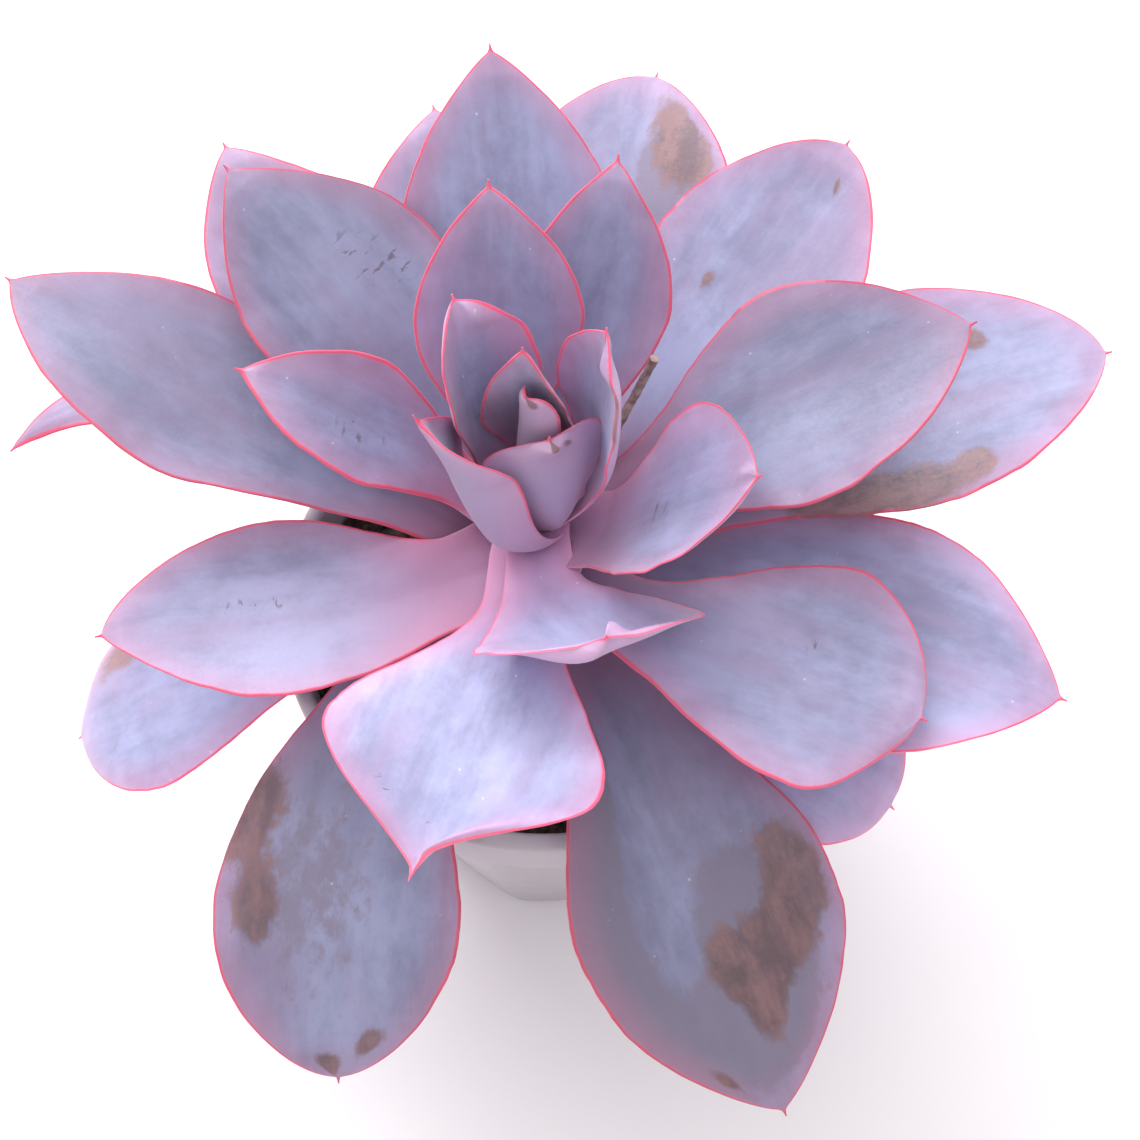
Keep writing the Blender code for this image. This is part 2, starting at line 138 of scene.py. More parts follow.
LEAVES = (
    Leaf(0, 4.5, 48, 71, 5, 85, 60, 60, roll=-1, thick=1, neck=0.31, base_turn=-60, base_out=1.2,
         pull=0.29, clasp=0, sink=0),
    Leaf(1, 0.5, 57, -149, 9, 84, 99, 85, roll=4, thick=1, blunt=0.32, widest=0.7, neck=0.48,
         base_turn=51, base_drop=-0.5, base_out=2, pull=0.42, clasp=0, sink=0.5,
         scuffs=(Patch(0.95, 0.4, 0.05, 0.3, 0.8),)),
    Leaf(2, 4, 51, 21, 20, 36, 88, 60, roll=-7, thick=1.1, blunt=0.42, widest=0.72, neck=0.39,
         base_turn=-10, base_drop=0.5, base_out=2.2, pull=0.32, clasp=0.4, sink=0.8, blush=-0.1,
         lip=-1.2, scuffs=(Patch(0.97, 0.05, 0.05, 0.16, 0.9), Patch(0.9, 0.35, 0.04, 0.1, 0.7)),
         dents=(Patch(0.97, 0, 0.1, 0.28, -1.6),)),
    Leaf(3, 4, 63, 4, 16, 58, 93, 48, roll=-3, thick=1.6, blunt=0.7, widest=0.5, base_turn=-5,
         base_out=1.8, clasp=0.4, sink=0.8, blush=-0.2),
    Leaf(4, 15.5, 52, -63, 21, 42, 58, 60, roll=30, thick=1.8, neck=0.58, base_turn=18,
         base_out=3.2, clasp=0.6, sink=1, blush=-0.15, curl=1.5),
    Leaf(5, 13, 63, 25, 20, 44, 86, 45, thick=1.9, blunt=0.55, curl=1, sink=1.5, blush=-0.25,
         scuffs=(Patch(0.78, -0.95, 0.16, 0.1, 0.8), Patch(0.97, -0.3, 0.04, 0.3, 0.7)),
         dents=(Patch(0.9, -0.6, 0.05, 0.4, 1.6),), tone=Tone.LIGHTENED),
    Leaf(6, 14.5, 64, -11, 18, 60, 75, 50, thick=2.1, blunt=0.42, base_out=0.4, sink=1.5,
         blush=-0.25, scratches=(Patch(0.5, 0, 0.08, 0.3, 0.9),), lean=-0.2, curl=1.5,
         dents=(Patch(0.93, -0.5, 0.05, 0.4, 1.4),), tone=Tone.LIGHTENED),
    Leaf(7, 31, 43, 22, 34, 17, 84, 16, roll=-9, thick=1.7, blunt=0.4, widest=0.72, neck=0.28,
         base_turn=-10, base_drop=-1, base_out=1.2, pull=0.37, lip=-1,
         dents=(Patch(0.94, 0.15, 0.05, 0.16, 2.6), Patch(0.9, -0.3, 0.1, 0.4, -1.6)), clasp=0,
         blush=-0.3, tone=Tone.LIGHTENED),
    Leaf(10, 33.5, 50, 8, 31, 44, 40, 33, thick=2.4, blunt=0.58, widest=0.66, neck=0.39,
         base_turn=5, scratches=(Patch(0.5, 0, 0.08, 0.2, 1.1),), curl=1,
         dents=(Patch(0.95, 0, 0.05, 0.3, 1.2),), clasp=2.2, blush=-0.1),
    Leaf(11, 29, 68, -17, 26, 58, 66, 35, base_turn=8, dents=(Patch(0.6, 0, 0.3, 0.4, -0.8),)),
    Leaf(12, 60, 26, -8, 42, 28, -5, 12, roll=2, thick=3.1, blunt=1.35, widest=0.66, neck=0.25,
         slim=1.6, sway=-4, base_turn=16, pull=0.37, scratches=(Patch(0.8, -0.5, 0.04, 0.15, 1),
         Patch(0.85, -0.1, 0.03, 0.1, 0.8)), lip=-0.6, blush=-0.1, clasp=2.2,
         dents=(Patch(0.86, 0.9, 0.13, 0.45, 6.5),), tone=Tone.LIGHTENED),
    Leaf(13, 67, 46, -3, 37, 33, 20, 30, blunt=0.75, widest=0.6, neck=0.28, sway=3, base_turn=-4,
         scratches=(Patch(0.36, 0.1, 0.05, 0.14, 1.2), Patch(0.3, 0, 0.04, 0.1, 0.8)), clasp=2.4,
         tone=Tone.DARKENED),
    Leaf(14, 43.5, 50, 16, 20, 45, 28, 45, roll=-10, thick=3.6, base_turn=-11, base_drop=0.5,
         base_out=0.4, pull=0.34, scratches=(Patch(0.6, 0.2, 0.1, 0.3, 0.9),
         Patch(0.35, 0.2, 0.05, 0.2, 0.7))),
    # blush below zero here also lightens the foot, which lies in shade: painted light
    Leaf(15, 65, 22, 25, 36, 28, 5, 25, blunt=0.62, widest=0.74, neck=0.28, base_turn=6,
         scratches=(Patch(0.7, 0.2, 0.02, 0.12, 1.2), Patch(0.45, -0.6, 0.02, 0.05, 1)),
         blush=-0.35, lip=-1, clasp=2.2),
    Leaf(16, 40, 62, -9, 25, 51, 62, 40, roll=21, neck=0.31, base_turn=4, base_out=0.2, pull=0.31),
    Leaf(17, 69.5, 20, -17, 31, 8, 12, 25, blunt=0.7, widest=0.56, neck=0.41, slim=1, sway=6,
         base_turn=-2, base_drop=-1.5, scratches=(Patch(0.62, -0.1, 0.1, 0.08, 1.2),), blush=0.2,
         clasp=2.4),
    Leaf(19, 66, 52, 11, 34, 44, 30, 25, thick=3.1, neck=0.3, base_turn=-4,
         scratches=(Patch(0.66, -0.35, 0.1, 0.2, 0.9), Patch(0.6, -0.6, 0.08, 0.1, 0.8)),
         tone=Tone.DARKENED),
    Leaf(21, 75, 42, 6, 36, 38, 30, 25, blunt=0.58, widest=0.64,
         scuffs=(Patch(0.6, 0.35, 0.03, 0.08, 0.7), Patch(0.9, -0.3, 0.03, 0.08, 0.7))),
    Leaf(22, 88, 43, -5, 31, 37, 12, 30, roll=-2, thick=2.9, neck=0.31, sway=-12, base_turn=-18,
         base_drop=0.5, base_out=1, pull=0.34, tone=Tone.DARKENED),
    Leaf(24, 65, 57, 0, 36, 30, 45, 20, thick=3.3, widest=0.58),
    Leaf(25, 82.5, -15, 36, 39, 12, -35, 15, blunt=0.6, widest=0.7, sway=22, base_turn=-22,
         bares=(Patch(0.65, -0.3, 0.4, 1.2, 0.6),), scuffs=(Patch(0.55, -0.9, 0.08, 0.22, 1.05),
         Patch(0.7, -0.66, 0.07, 0.2, 0.95), Patch(0.96, -0.2, 0.025, 0.3, 0.85),
         Patch(0.92, 0.5, 0.03, 0.2, 0.8)), tone=Tone.DARKENED),
    Leaf(26, 93, 26, -8, 40, 25, 15, 20, blunt=0.6, widest=0.64, sway=-10, base_turn=14,
         scuffs=(Patch(0.44, -0.8, 0.1, 0.25, 0.95), Patch(0.6, -0.8, 0.09, 0.22, 0.95),
         Patch(0.72, -0.75, 0.03, 0.15, 0.8), Patch(0.78, 0.45, 0.03, 0.12, 0.9)), clasp=2.4),
    Leaf(27, 82, 38, -2, 33, 33, 17, 20, roll=-1, thick=3.1, neck=0.34, sway=-10, base_turn=-17,
         base_out=0.2, pull=0.3),
    Leaf(28, 88.5, -15, 0, 41, 18, -32, 15, neck=0.27, base_turn=8,
         bares=(Patch(0.6, -0.85, 0.3, 0.35, 1), Patch(0.85, 0, 0.12, 1, 0.9),
         Patch(0.3, -0.75, 0.2, 0.35, 0.8), Patch(0.66, 0.3, 0.16, 0.5, 1)),
         scuffs=(Patch(0.62, 0.72, 0.1, 0.24, 1), Patch(0.72, 0.4, 0.08, 0.25, 0.9),
         Patch(0.72, 0.02, 0.07, 0.2, 0.85), Patch(0.82, 0.2, 0.06, 0.22, 0.7),
         Patch(0.9, -0.7, 0.04, 0.12, 0.7)), tone=Tone.DARKENED),
    Leaf(29, 81, 35, 7, 38, 30, 11, 20, thick=3.3, blunt=0.6, widest=0.68, neck=0.26, sway=-8,
         base_turn=6, base_out=0.8, pull=0.35, scuffs=(Patch(0.84, -0.55, 0.1, 0.34, 1.05),),
         bares=(Patch(0.78, -0.4, 0.16, 0.45, 0.9),)),
    Leaf(30, 83.5, -20, -4, 33, 15, -47, -10, thick=3.1, blunt=0.55, widest=0.75, neck=0.28,
         slim=1.8, base_turn=-5, base_drop=-1, pull=0.33,
         scuffs=(Patch(0.8, -0.7, 0.12, 0.3, 0.75),), blush=-0.1, tone=Tone.LIGHTENED),
    Leaf(31, 82.5, 13, -7, 39, 21, -8, 15, roll=3, thick=3.6, neck=0.47, slim=1, base_turn=10,
         pull=0.37, scuffs=(Patch(0.62, 0.1, 0.04, 0.15, 0.6), Patch(0.7, -0.4, 0.03, 0.12, 0.6)),
         blush=-0.35, clasp=2.4, tone=Tone.LIGHTENED),
    Leaf(32, 80, 30, -12, 36, 25, 15, 20),
    Leaf(35, 90.5, 14, 15, 13, 26, -10, 30, sway=55, base_turn=-16),
    Leaf(36, 65, -8, 11, 32, 31, -41, 12, roll=2, thick=3.1, blunt=0.5, widest=0.7, base_turn=10,
         base_drop=-1, base_out=0.4, pull=0.33, blush=-0.1, tone=Tone.LIGHTENED),
)


class Graph:
    """Node tree of one material, with short calls for the nodes used here."""

    def __init__(self, name: str) -> None:
        """Start a material with its usual shader.

        Args:
            name: The material's name.
        """
        self.material = bpy.data.materials.new(name)
        self.material.use_nodes = True
        self.tree = self.material.node_tree
        self.shader = self.tree.nodes["Principled BSDF"]

    def put(self, socket: Socket, value: "Socket | float | Colour") -> None:
        """Link a socket to another, or give it a number or a colour.

        Args:
            socket: The input that takes the value.
            value: What it takes.
        """
        if isinstance(value, bpy.types.NodeSocket):
            self.tree.links.new(value, socket)
        elif isinstance(value, tuple) and socket.type == "RGBA":
            socket.default_value = (*value, 1.0)
        else:
            socket.default_value = value

    def add(self, kind: str, **inputs: "Socket | float | Colour") -> bpy.types.ShaderNode:
        """Add a node and give its inputs their values.

        Args:
            kind: The end of Blender's name for the node.
            inputs: Values by input name, with underscores for spaces.

        Returns:
            The node.
        """
        node = self.tree.nodes.new(f"ShaderNode{kind}")
        for name, value in inputs.items():
            self.put(node.inputs[name.replace("_", " ").title()], value)
        return node

    def look(self, **inputs: "Socket | float | Colour") -> None:
        """Set the shader's inputs, named with underscores for spaces.

        Args:
            inputs: Values by input name.
        """
        for name, value in inputs.items():
            label = name.replace("_", " ").title().replace("Ior", "IOR")
            self.put(self.shader.inputs[label], value)

    def attribute(self, mark: Mark) -> Socket:
        """Number that the piece's corners carry.

        Args:
            mark: Which number.

        Returns:
            The socket that gives it.
        """
        node = self.add("Attribute")
        node.attribute_name = mark.value
        return node.outputs["Fac"]

    def place(self, stretch: Colour = (1.0, 1.0, 1.0), surface: bool = False) -> Socket:
        """Coordinates in metres on the object, or along the blade's own surface.

        Args:
            stretch: Scale along each axis.
            surface: Whether to use the piece's UV map.

        Returns:
            The scaled coordinates.
        """
        source = self.add("TexCoord").outputs["UV" if surface else "Object"]
        return self.add("Mapping", vector=source, scale=stretch).outputs["Vector"]

    def grain(self, where: Socket, scale: float, detail: float = 3.0,
              rough: float = 0.55) -> Socket:
        """Fractal noise.

        Args:
            where: Coordinates.
            scale: Cells per unit.
            detail: Octaves.
            rough: Share of each finer octave.

        Returns:
            The noise, about 0.5 on average.
        """
        node = self.add("TexNoise", vector=where, scale=scale, detail=detail, roughness=rough)
        return node.outputs[0]

    def ramp(self, value: Socket, low: float, high: float, first: float = 0.0,
             last: float = 1.0) -> Socket:
        """Smooth step from one value to another.

        Args:
            value: What drives it.
            low: Where it starts.
            high: Where it ends.
            first: Result below the start.
            last: Result beyond the end.

        Returns:
            The stepped value.
        """
        if low > high:
            low, high, first, last = high, low, last, first
        node = self.add("MapRange", value=value, from_min=low, from_max=high, to_min=first,
                        to_max=last)
        node.interpolation_type = "SMOOTHSTEP"
        return node.outputs[0]

    def calc(self, operation: str, first: "Socket | float",
             second: "Socket | float" = 0.0) -> Socket:
        """One sum.

        Args:
            operation: Blender's name for it.
            first: Left value.
            second: Right value.

        Returns:
            The result.
        """
        node = self.add("Math")
        node.operation = operation
        self.put(node.inputs[0], first)
        self.put(node.inputs[1], second)
        return node.outputs[0]

    def times(self, first: "Socket | float", second: "Socket | float") -> Socket:
        """Product of two values."""
        return self.calc("MULTIPLY", first, second)

    def plus(self, first: "Socket | float", second: "Socket | float") -> Socket:
        """Sum of two values."""
        return self.calc("ADD", first, second)

    def swing(self, value: Socket, size: float) -> Socket:
        """Noise moved to swing evenly about zero, and scaled."""
        return self.times(self.calc("SUBTRACT", value, 0.5), size)

    def mix(self, share: "Socket | float", first: "Socket | Colour",
            second: "Socket | Colour") -> Socket:
        """Blend of two colours.

        Args:
            share: 0 gives the first, 1 the second.
            first: One colour.
            second: The other.

        Returns:
            The blended colour.
        """
        node = self.add("Mix")
        node.data_type = "RGBA"
        self.put(node.inputs[0], share)
        self.put(node.inputs[6], first)
        self.put(node.inputs[7], second)
        return node.outputs[2]

    def bump(self, height: Socket, depth: float, strength: float = 1.0) -> None:
        """Give the shader a relief.

        Args:
            height: The relief, 0 to 1.
            depth: Its depth in metres.
            strength: How strongly it shows.
        """
        node = self.add("Bump", strength=strength, distance=depth, height=height)
        self.put(self.shader.inputs["Normal"], node.outputs["Normal"])


@dataclass(frozen=True)
class LeafSkin:
    """Waxy, blue-lilac leaf skin with pink margins, partly a painted glow of light through them, and
    brown rubbed patches.
    """

    body: Colour = (0.192, 0.195, 0.325)
    bloom: Colour = (0.345, 0.36, 0.56)
    bare: Colour = (0.215, 0.18, 0.26)
    mauve: Colour = (0.31, 0.22, 0.36)
    base: Colour = (0.40, 0.205, 0.36)
    lower: Colour = (0.42, 0.33, 0.49)
    # margin pink, brightened as a painted glow of light shining through the thin margins
    pink_glow: Colour = (0.66, 0.25, 0.40)
    line: Colour = (0.74, 0.085, 0.17)
    rubbed: Colour = (0.12, 0.06, 0.068)
    rust: Colour = (0.26, 0.128, 0.122)
    scratch: Colour = (0.11, 0.075, 0.10)
    fleck: Colour = (0.62, 0.60, 0.74)
    roughness: float = 0.5

    def make(self) -> bpy.types.Material:
        """Build the material.

        Returns:
            The material.
        """
        g = Graph("leaf_skin")
        streak = g.grain(g.place((1.0, 0.14, 1.0), surface=True), 170.0, 4.0, 0.62)
        cloud = g.grain(g.place(), 34.0, 5.0, 0.6)
        ragged = g.grain(g.place((1.0, 0.6, 1.0), surface=True), 330.0, 6.0, 0.68)
        wax = g.grain(g.place(surface=True), 1500.0, 3.0, 0.65)
        edge = g.attribute(Mark.EDGE)
        colour = self.wax_cover(g, streak, cloud, ragged)
        colour = self.margin(g, colour, edge, ragged, cloud)
        rub = g.plus(g.attribute(Mark.SCUFF), g.times(ragged, 1.1))
        rub = g.ramp(g.plus(rub, g.times(streak, 0.7)), 1.15, 1.5)
        worn = g.ramp(g.times(streak, ragged), 0.16, 0.34)
        stain = g.mix(worn, self.rubbed, self.rust)
        colour = g.mix(g.times(rub, 0.85), colour, stain)
        cut = g.grain(g.place((0.35, 1.0, 1.0), surface=True), 800.0, 3.0, 0.6)
        cut = g.times(g.attribute(Mark.SCRATCH), g.ramp(cut, 0.54, 0.64))
        colour = g.mix(g.ramp(cut, 0.2, 0.8, 0.0, 0.7), colour, self.scratch)
        # painted light and shade: the leaf's colour is scaled by its tone
        shade = g.add("VectorMath")
        shade.operation = "SCALE"
        g.put(shade.inputs[0], colour)
        g.put(shade.inputs["Scale"], g.attribute(Mark.TONE))
        g.look(base_color=shade.outputs[0], subsurface_weight=0.1, subsurface_scale=0.003,
               sheen_weight=0.2, sheen_roughness=0.5)
        g.shader.inputs["Subsurface Radius"].default_value = (1.0, 0.35, 0.45)
        rough = g.ramp(wax, 0.2, 0.8, self.roughness - 0.08, self.roughness + 0.1)
        g.look(roughness=g.calc("SUBTRACT", rough, g.times(rub, 0.1)))
        relief = g.plus(g.times(wax, 0.3), g.times(streak, 0.7))
        g.bump(relief, 0.0004, 0.3)
        return g.material

    def wax_cover(self, g: Graph, streak: Socket, cloud: Socket, ragged: Socket) -> Socket:
        """Colour of the blade away from its margins.

        Args:
            g: The material's graph.
            streak: Noise drawn out along the leaf.
            cloud: Broad noise.
            ragged: Fine noise with torn edges.

        Returns:
            The colour.
        """
        cover = g.plus(g.times(cloud, 0.7), g.times(streak, 0.35))
        cover = g.plus(cover, g.times(ragged, 0.3))
        colour = g.mix(g.ramp(cover, 0.5, 0.84), self.body, self.bloom)
        dusk = g.grain(g.place((1.0, 0.3, 1.0), surface=True), 75.0, 4.0, 0.6)
        colour = g.mix(g.ramp(dusk, 0.42, 0.66, 0.0, 0.5), colour, self.mauve)
        bare = g.plus(g.attribute(Mark.BARE), g.times(ragged, 0.7))
        colour = g.mix(g.ramp(bare, 0.8, 0.98, 0.0, 0.8), colour, self.bare)
        foot = g.plus(g.ramp(g.attribute(Mark.FOOT), 32.0, 2.0), g.swing(streak, 0.3))
        foot = g.plus(foot, g.attribute(Mark.BLUSH))
        colour = g.mix(g.ramp(foot, 0.0, 1.1), colour, self.base)
        dots = g.add("TexVoronoi", vector=g.place(surface=True), scale=260.0)
        sparse = g.times(g.ramp(dots.outputs["Distance"], 0.07, 0.03), g.ramp(ragged, 0.5, 0.56))
        colour = g.mix(g.times(sparse, 0.7), colour, self.fleck)
        return g.mix(g.times(g.attribute(Mark.UNDER), 0.8), colour, self.lower)

    def margin(self, g: Graph, colour: Socket, edge: Socket, ragged: Socket,
               cloud: Socket) -> Socket:
        """Add the pink glow and the thin red line along the margins; the glow is the margins' own
        pink with painted light shining through them.

        Args:
            g: The material's graph.
            colour: What lies under them.
            edge: Distance from the margin.
            ragged: Fine noise.
            cloud: Broad noise.

        Returns:
            The colour.
        """
        # painted glow: a pink band along the margins, partly their own pink, partly light through
        # them
        loose = g.plus(edge, g.swing(cloud, 3.0))
        near = g.calc("MAXIMUM", g.ramp(loose, 7.0, 0.0, 0.0, 0.3),
                      g.ramp(edge, 1.6, 0.1, 0.0, 0.5))
        colour = g.mix(near, colour, self.pink_glow)
        width = g.plus(edge, g.swing(ragged, 0.5))
        width = g.plus(width, g.swing(cloud, 0.8))
        drawn = g.times(g.ramp(width, 0.55, 0.14, 0.0, 0.95),
                        g.ramp(g.attribute(Mark.FOOT), 5.0, 16.0))
        return g.mix(drawn, colour, self.line)


@dataclass(frozen=True)
class PlainFinish:
    """A finish of two mixed colours with a fine relief."""

    name: str
    first: Colour
    second: Colour
    roughness: float
    scale: float
    depth: float
    contrast: float = 0.25

    def make(self) -> bpy.types.Material:
        """Build the material.

        Returns:
            The material.
        """
        g = Graph(self.name)
        where = g.place()
        coarse = g.grain(where, self.scale, 4.0, 0.6)
        fine = g.grain(where, self.scale * 6.0, 3.0, 0.6)
        half = self.contrast / 2.0
        g.look(base_color=g.mix(g.ramp(coarse, 0.5 - half, 0.5 + half), self.first, self.second))
        rough = g.times(fine, 0.2)
        g.look(roughness=g.plus(rough, self.roughness - 0.1))
        g.bump(g.plus(coarse, g.times(fine, 0.5)), self.depth, 0.6)
        return g.material


POT_PLASTIC = PlainFinish("pot_plastic", (0.475, 0.43, 0.465), (0.495, 0.45, 0.485), 0.42, 35.0,
                          0.00005)
MIX = PlainFinish("potting_mix", (0.018, 0.011, 0.009), (0.07, 0.045, 0.035), 0.95, 600.0, 0.0008)
BARK = PlainFinish("bark_chip", (0.10, 0.05, 0.03), (0.22, 0.12, 0.075), 0.85, 420.0, 0.0004)
PERLITE = PlainFinish("perlite", (0.55, 0.50, 0.47), (0.75, 0.72, 0.70), 0.9, 900.0, 0.0003)
STEM_BARK = PlainFinish("stem_bark", (0.26, 0.15, 0.17), (0.44, 0.28, 0.32), 0.8, 260.0, 0.0004)
STRAW = PlainFinish("dry_straw", (0.20, 0.13, 0.12), (0.42, 0.30, 0.28), 0.85, 420.0, 0.0004)
PAPER = PlainFinish("studio_floor", (0.90, 0.875, 0.89), (0.91, 0.885, 0.90), 0.7, 3.0, 0.00001)


def heading(degrees: float) -> Vector:
    """Level unit vector at an azimuth."""
    return Vector((math.cos(math.radians(degrees)), math.sin(math.radians(degrees)), 0.0))


def slope(level: Vector, degrees: float) -> Vector:
    """Unit vector along a level heading, tilted up by an angle."""
    tilt = math.radians(degrees)
    return level * math.cos(tilt) + UP * math.sin(tilt)


def smooth(value: float) -> float:
    """Smooth step of a value from 0 to 1."""
    held = min(1.0, max(0.0, value))
    return held * held * (3.0 - 2.0 * held)


def add_object(name: str, data: bpy.types.ID) -> bpy.types.Object:
    """Put a mesh, a light or a camera into the scene.

    Args:
        name: The object's name.
        data: What it holds.

    Returns:
        The object.
    """
    made = bpy.data.objects.new(name, data)
    bpy.context.scene.collection.objects.link(made)
    return made


def add_mesh(name: str, bm: bmesh.types.BMesh) -> bpy.types.Object:
    """Put a built mesh into the scene.

    Args:
        name: The object's name.
        bm: Its mesh, which is freed.

    Returns:
        The object.
    """
    mesh = bpy.data.meshes.new(name)
    bm.to_mesh(mesh)
    bm.free()
    return add_object(name, mesh)


def grow_ring(bm: bmesh.types.BMesh, edges: list[bmesh.types.BMEdge],
              ) -> tuple[list[bmesh.types.BMVert], list[bmesh.types.BMEdge]]:
    """Extrude an open ring of edges once.

    Args:
        bm: The mesh.
        edges: The open ring.

    Returns:
        The new ring's corners and its edges.
    """
    grown = bmesh.ops.extrude_edge_only(bm, edges=edges)["geom"]
    verts = [item for item in grown if isinstance(item, bmesh.types.BMVert)]
    return verts, [item for item in grown if isinstance(item, bmesh.types.BMEdge)
                   and len(item.link_faces) == 1]


def finish_piece(name: str, bm: bmesh.types.BMesh, material: bpy.types.Material, node: str,
                 sharp: float = 60.0) -> bpy.types.Object:
    """Link a mesh as a piece that stands for a CAD node.

    Args:
        name: The piece's name.
        bm: Its mesh.
        material: Its finish.
        node: The CAD node it stands for, or "" for none.
        sharp: Edges sharper than this angle stay crisp.

    Returns:
        The new object.
    """
    piece = add_mesh(name, bm)
    mesh = piece.data
    mesh.shade_smooth()
    mesh.set_sharp_from_angle(angle=math.radians(sharp))
    mesh.materials.append(material)
    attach(piece, ROOT)
    if node:
        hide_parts(node)
    LOG.info("%s: %d faces", name, len(mesh.polygons))
    return piece


@dataclass
class Crown:
    """Where the spiral of leaves leaves the stem."""

    crown_above_rim: float = 29 * MM
    stem_radius: float = 5.4 * MM
    stem_seat: float = 1.1 * MM
    gap: float = 0.35 * MM
    ranks: int = 11
    core: float = 0.02
    first_azimuth: float = 30.0
    golden_angle: float = 137.5
    rank_step: float = 0.92 * MM

    def radius(self, rank: float) -> float:
        """Distance from the axis to the inner ends of the leaves of one rank."""
        share = self.core + (1.0 - self.core) * rank / self.ranks
        return (self.stem_radius + self.stem_seat) * min(1.0, share)

    def height(self, rank: float) -> float:
        """Height at which a leaf of one rank leaves the stem."""
        return RIM_HEIGHT + self.crown_above_rim - self.rank_step * rank


class Blade:
    """Surface of one leaf: a midrib curve with an arc across it."""

    POINTS = 160
    TIP_RADIUS = 0.12
    THICKNESS = ((0.0, 0.74), (0.22, 1.0), (0.5, 0.95), (1.0, 0.6))
    TIP_FADE = 0.06
    ROLL_END = 0.6
    THIN = 0.9
    SHARP = 2.3
    SEAT = 8 * MM            # how far the seat's widening and sinking reach
    LIP_START = 0.62         # share of the half width at which the lips begin
    CURL_START = 0.86        # share of the length at which the tip lifts

    def __init__(self, leaf: Leaf, crown: Crown, number: int) -> None:
        """Lay the midrib.

        Args:
            leaf: The leaf's sizes.
            crown: Where it is seated.
            number: Seeds its small irregularities.
        """
        self.leaf = leaf
        self.number = number
        self.base_azimuth = crown.first_azimuth + crown.golden_angle * leaf.rank + leaf.base_turn
        outward = heading(self.base_azimuth)
        start = outward * (crown.radius(leaf.rank) + leaf.base_out * MM)
        start.z = crown.height(leaf.rank) - leaf.base_drop * MM
        tip = heading(self.base_azimuth + leaf.aside) * leaf.reach * MM
        tip.z = RIM_HEIGHT + leaf.above_rim * MM
        chord = tip - start
        chord_azimuth = math.degrees(math.atan2(chord.y, chord.x))
        self.tip_azimuth = chord_azimuth + leaf.sway
        if math.hypot(chord.x, chord.y) < crown.stem_radius + crown.gap:
            self.tip_azimuth = self.base_azimuth
        handle = chord.length * leaf.pull
        leaving = start + slope(outward, leaf.rise) * handle
        arriving = tip - slope(heading(chord_azimuth + leaf.sway), leaf.fall) * handle
        self.points = interpolate_bezier(start, leaving, arriving, tip, self.POINTS)
        self.lengths = [0.0]
        for here, there in zip(self.points, self.points[1:]):
            self.lengths.append(self.lengths[-1] + (there - here).length)
        self.length = self.lengths[-1]
        self.spine = min(0.12, leaf.spine * MM / self.length)
        self.rows: dict[float, tuple[Vector, Vector, Vector, float, float]] = {}

    def midrib(self, along: float) -> tuple[Vector, Vector]:
        """Point and direction of the midrib at a share of its length.

        Args:
            along: The share, 0 at the base.

        Returns:
            The point and the unit direction.
        """
        wanted = along * self.length
        index = 1
        while index < len(self.lengths) - 1 and self.lengths[index] < wanted:
            index += 1
        here, there = self.points[index - 1], self.points[index]
        span = self.lengths[index] - self.lengths[index - 1]
        point = here.lerp(there, (wanted - self.lengths[index - 1]) / span)
        return point, (there - here).normalized()

    def axes(self, along: float) -> tuple[Vector, Vector, Vector]:
        """Point, sideways axis and upper-face axis at a share of the length.

        Args:
            along: The share, 0 at the base.

        Returns:
            The point and the two unit axes.
        """
        point, direction = self.midrib(along)
        turn = (self.tip_azimuth - self.base_azimuth + 180.0) % 360.0 - 180.0
        side = heading(self.base_azimuth + turn * along + 90.0)
        side = (side - direction * side.dot(direction)).normalized()
        upper = direction.cross(side)
        roll = math.radians(self.leaf.roll) * min(1.0, along / self.ROLL_END)
        rolled = side * math.cos(roll) + upper * math.sin(roll)
        return point, rolled, upper * math.cos(roll) - side * math.sin(roll)

    def half_width(self, along: float) -> float:
        """Half the blade's width at a share of its length, ending in a fine point.

        Args:
            along: The share, 0 at the base.

        Returns:
            The half width, in metres.
        """
        leaf = self.leaf
        if along < leaf.widest:
            swell = 0.5 - 0.5 * math.cos(math.pi * (along / leaf.widest) ** leaf.slim)
            share = leaf.neck + (1.0 - leaf.neck) * swell
        else:
            beyond = min(1.0, (along - leaf.widest) / (1.0 - self.spine * 0.8 - leaf.widest))
            share = max(0.0, math.cos(math.pi * beyond / 2.0)) ** leaf.blunt
        point = 1.0 - smooth((along - 1.0 + 2.2 * self.spine) / (2.2 * self.spine))
        fine = (self.TIP_RADIUS + 0.75 * point) * MM if along > 0.8 else 0.0
        seat = leaf.clasp * MM * math.exp(-(along * self.length / self.SEAT) ** 2)
        return max(fine, leaf.width * MM / 2.0 * share) + seat

    def thickness(self, along: float) -> float:
        """Thickness over the midrib at a share of the length.

        Args:
            along: The share, 0 at the base.

        Returns:
            The thickness, in metres.
        """
        share = self.THICKNESS[-1][1]
        for (start, low), (end, high) in zip(self.THICKNESS, self.THICKNESS[1:]):
            if start <= along <= end:
                share = low + (high - low) * (along - start) / (end - start)
        share *= min(1.0, max(0.18, (1.0 - along) / self.TIP_FADE))
        return self.leaf.thick * MM * share

    def row(self, along: float) -> tuple[Vector, Vector, Vector, float, float]:
        """Everything that a row of corners shares, worked out once.

        Args:
            along: The row's share of the length.

        Returns:
            Midrib point, sideways axis, upper axis, half width and thickness.
        """
        if along not in self.rows:
            self.rows[along] = (*self.axes(along), self.half_width(along), self.thickness(along))
        return self.rows[along]

